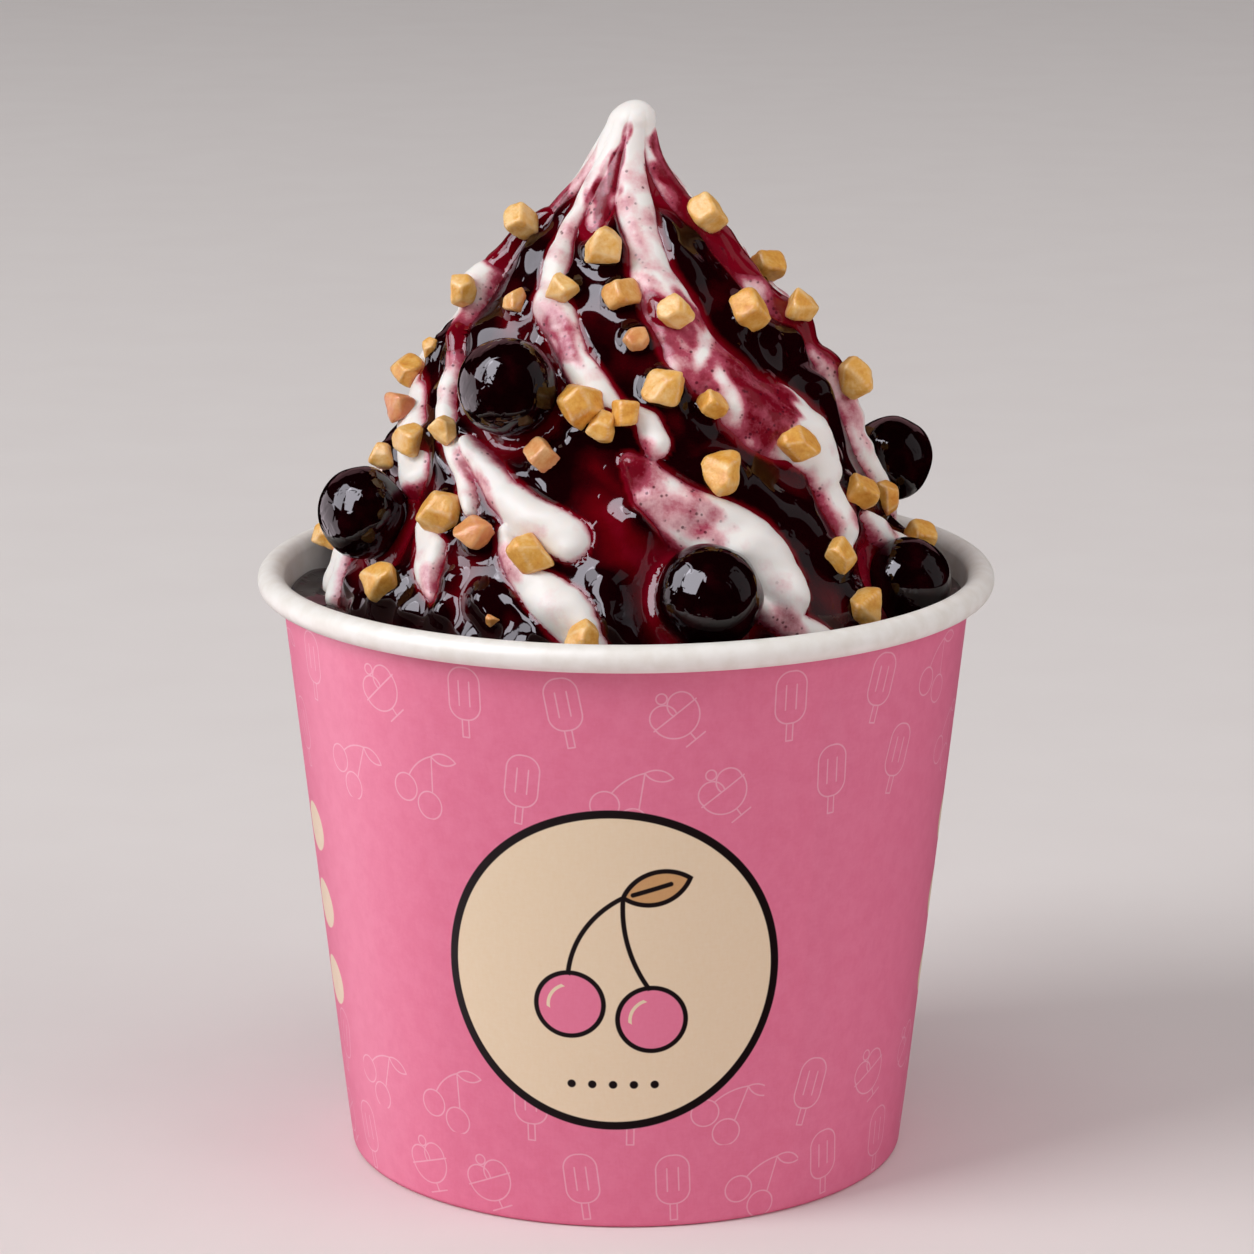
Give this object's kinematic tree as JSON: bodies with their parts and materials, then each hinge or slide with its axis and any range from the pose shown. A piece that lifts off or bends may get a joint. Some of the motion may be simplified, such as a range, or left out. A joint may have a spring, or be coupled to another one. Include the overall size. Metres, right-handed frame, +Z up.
{
  "type": "cherry sundae cup",
  "caption": "Round paper tub with a rolled rim, filled with soft serve that rises in a tall fluted swirl, with dark cherry sauce, chopped nuts and whole glossy cherries.",
  "frame": {"origin": "centre of the tub's foot ring, on the surface it stands on", "axes": "+Z up along the tub's axis; -Y is the front, where the round badge is"},
  "size_m": [0.11, 0.11, 0.1591],
  "materials": {
    "pink_card": "matte printed card",
    "white_card": "smooth white card",
    "ice_cream": "soft satin cream",
    "cherry_sauce": "wet gloss",
    "cherry_skin": "wet gloss",
    "chopped_nut": "soft toasted satin"
  },
  "bodies": {
    "root": {"cup_wall": "pink_card", "cup_base": "white_card", "soft_serve": "ice_cream", "sauce_pool": "cherry_sauce", "cherry_1": "cherry_skin", "cherry_2": "cherry_skin", "cherry_3": "cherry_skin", "cherry_4": "cherry_skin", "cherry_5": "cherry_skin", "cherry_6": "cherry_skin", "cherry_7": "cherry_skin", "cherry_8": "cherry_skin"}
  },
  "joints": []
}
